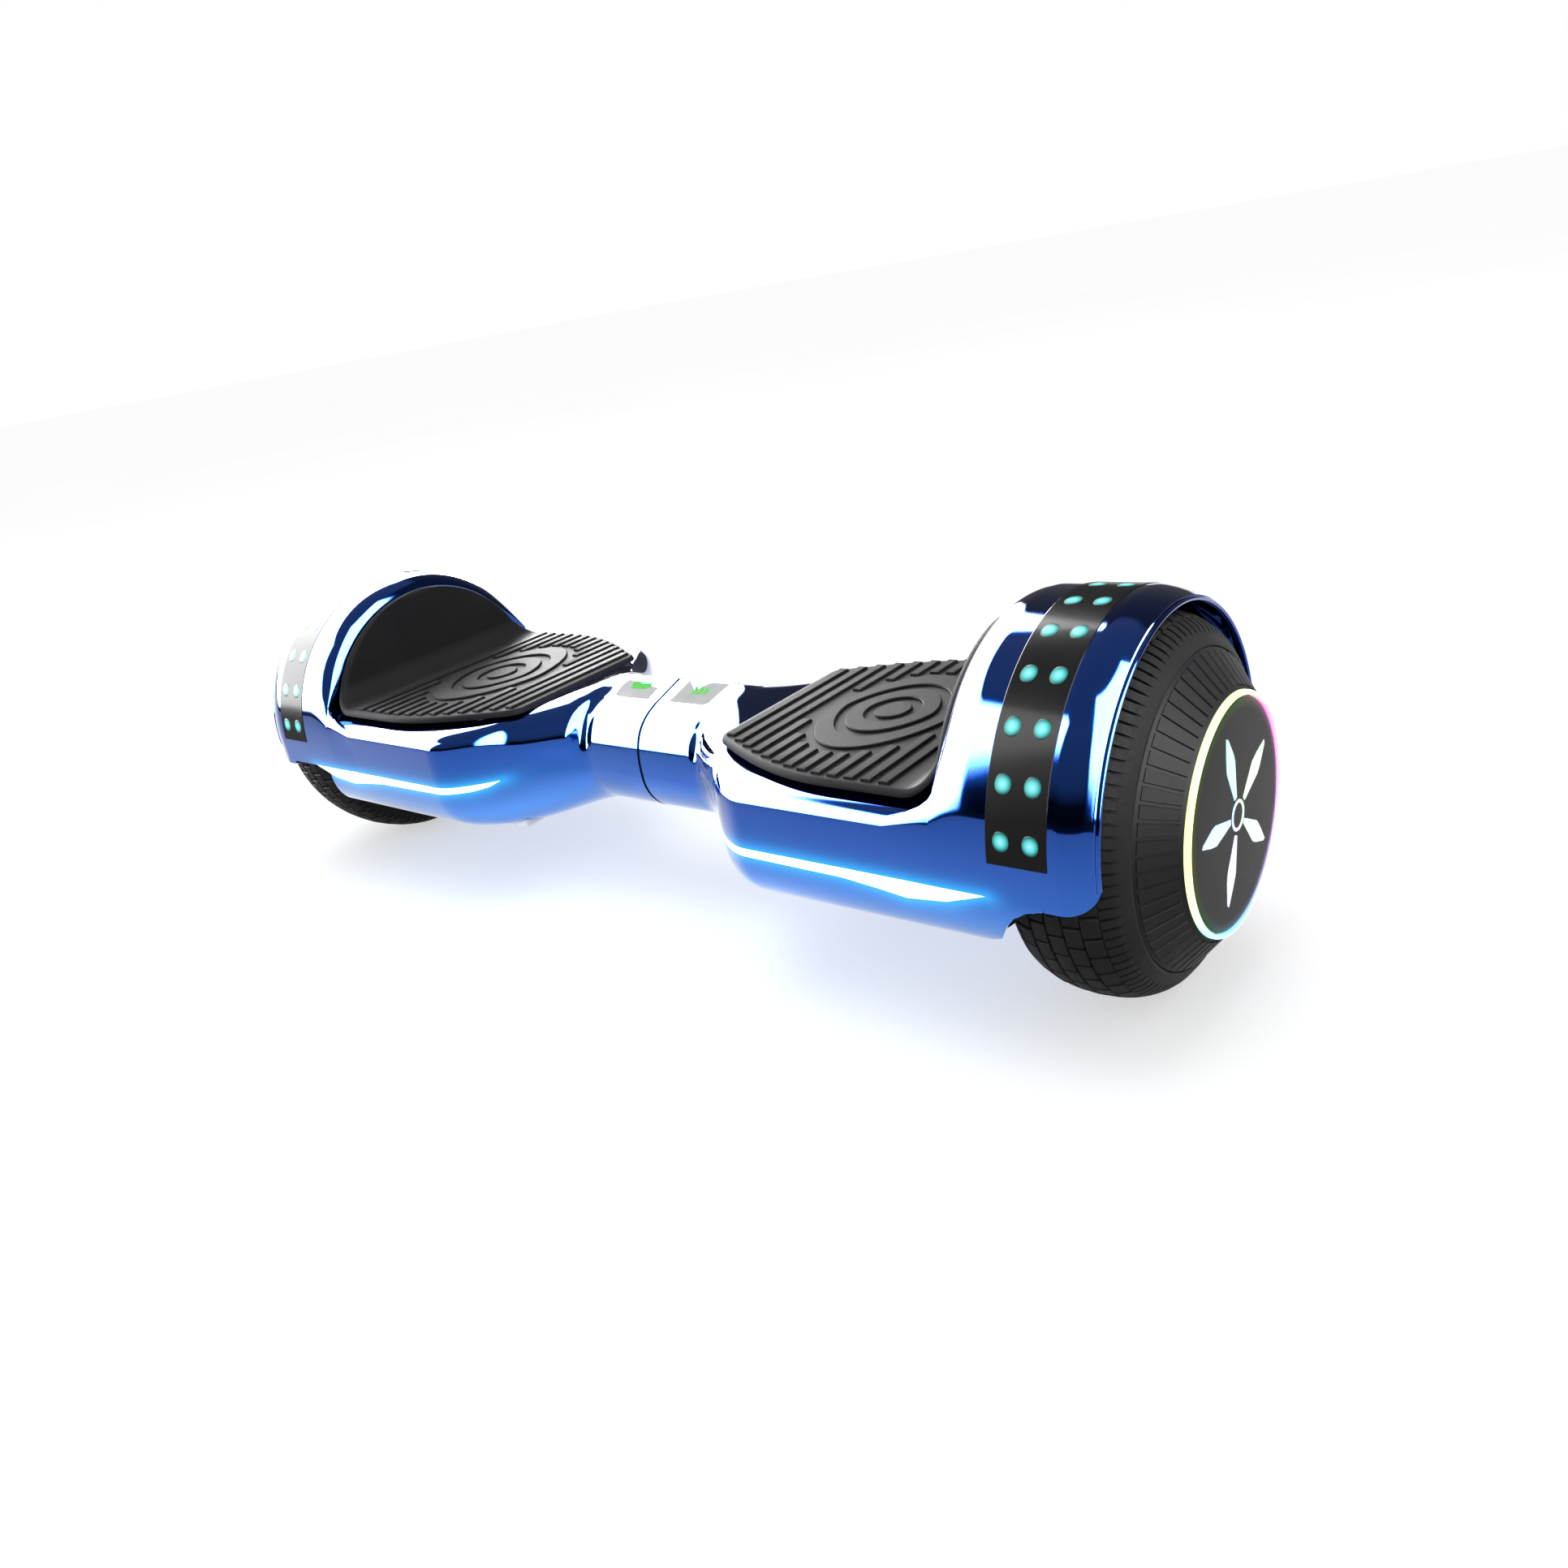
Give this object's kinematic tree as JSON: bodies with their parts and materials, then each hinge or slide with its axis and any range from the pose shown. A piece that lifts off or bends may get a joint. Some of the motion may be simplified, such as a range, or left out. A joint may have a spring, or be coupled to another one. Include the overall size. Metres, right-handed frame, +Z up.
{
  "type": "self balancing hoverboard",
  "caption": "Two-wheeled self-balancing board in blue mirror finish, with ribbed foot pads, lit fender strips, headlights and glowing wheel caps.",
  "frame": {"origin": "on the ground, midway between the two wheels, below the centre joint", "axes": "+X along the wheel axles towards the right wheel, -Y towards the front with the headlights, +Z up"},
  "size_m": [0.6452, 0.182, 0.1825],
  "materials": {
    "blue_shell": "mirror-like blue metallic coating",
    "smoked_strip": "smoked glossy strip",
    "cyan_light": "lit diffuser",
    "white_light": "lit diffuser",
    "circuit_board": "solder-masked laminate",
    "window_panel": "frosted panel",
    "black_rubber": "matte moulded rubber",
    "grey_plastic": "moulded",
    "cast_frame": "die cast",
    "steel": "turned",
    "winding": "enamelled copper on laminated steel",
    "motor_metal": "machined",
    "tyre_rubber": "matte solid rubber",
    "ribbed_cover": "fine moulded texture",
    "cap_gloss": "glossy black",
    "ring_light": "lit multicolour ring",
    "emblem_light": "lit multicolour pattern",
    "dark_steel": "black oxide",
    "cable_sheath": "PVC sheath",
    "bush_plastic": "nylon",
    "seal_rubber": "matte",
    "battery_wrap": "shrink wrap",
    "port_plastic": "moulded",
    "button_metal": "turned"
  },
  "bodies": {
    "left_half": {"left_top_shell": "blue_shell", "left_bottom_shell": "blue_shell", "left_fender_strip": "smoked_strip", "left_strip_leds": "cyan_light", "left_headlight_lens": "white_light", "left_headlight_board": "circuit_board", "left_indicator_window": "window_panel", "left_sensor_board": "circuit_board", "left_frame": "cast_frame", "left_axle": "steel", "left_axle_clamp": "steel", "left_stator": "winding", "left_shell_screws": "dark_steel", "left_motor_cable": "cable_sheath", "pivot_shaft": "steel", "pivot_retainer": "dark_steel", "joint_seal": "seal_rubber", "battery_pack": "battery_wrap", "battery_strap": "grey_plastic", "charge_port": "port_plastic", "power_switch": "port_plastic"},
    "right_half": {"right_top_shell": "blue_shell", "right_bottom_shell": "blue_shell", "right_fender_strip": "smoked_strip", "right_strip_leds": "cyan_light", "right_headlight_lens": "white_light", "right_headlight_board": "circuit_board", "right_indicator_window": "window_panel", "right_sensor_board": "circuit_board", "right_frame": "cast_frame", "right_axle": "steel", "right_axle_clamp": "steel", "right_stator": "winding", "right_shell_screws": "dark_steel", "right_motor_cable": "cable_sheath", "pivot_bushes": "bush_plastic", "main_board": "circuit_board", "speaker": "port_plastic"},
    "left_wheel": {"left_motor_rim": "motor_metal", "left_tyre": "tyre_rubber", "left_motor_cover": "motor_metal", "left_wheel_bearings": "steel", "left_wheel_cover": "ribbed_cover", "left_hub_cap": "cap_gloss", "left_hub_light_ring": "ring_light", "left_hub_emblem": "emblem_light"},
    "right_wheel": {"right_motor_rim": "motor_metal", "right_tyre": "tyre_rubber", "right_motor_cover": "motor_metal", "right_wheel_bearings": "steel", "right_wheel_cover": "ribbed_cover", "right_hub_cap": "cap_gloss", "right_hub_light_ring": "ring_light", "right_hub_emblem": "emblem_light"},
    "left_pad": {"left_foot_pad": "black_rubber", "left_pad_plungers": "grey_plastic"},
    "right_pad": {"right_foot_pad": "black_rubber", "right_pad_plungers": "grey_plastic"},
    "button": {"power_button": "button_metal"}
  },
  "joints": [
    {"name": "twist", "type": "hinge", "parent": "left_half", "child": "right_half", "pos_m": [0, 0, 0.086], "axis": [1, 0, 0], "range_deg": [-12, 12]},
    {"name": "left_wheel_spin", "type": "hinge", "parent": "left_half", "child": "left_wheel", "pos_m": [-0.278, 0, 0.086], "axis": [1, 0, 0], "continuous": true},
    {"name": "right_wheel_spin", "type": "hinge", "parent": "right_half", "child": "right_wheel", "pos_m": [0.278, 0, 0.086], "axis": [1, 0, 0], "continuous": true},
    {"name": "left_pad_press", "type": "slide", "parent": "left_half", "child": "left_pad", "axis": [0, 0, -1], "range_m": [0, 0.002], "stiffness_N_per_m": 20000},
    {"name": "right_pad_press", "type": "slide", "parent": "right_half", "child": "right_pad", "axis": [0, 0, -1], "range_m": [0, 0.002], "stiffness_N_per_m": 20000},
    {"name": "power_button_press", "type": "slide", "parent": "left_half", "child": "button", "axis": [0, -1, 0], "range_m": [0, 0.0012], "stiffness_N_per_m": 1200}
  ]
}
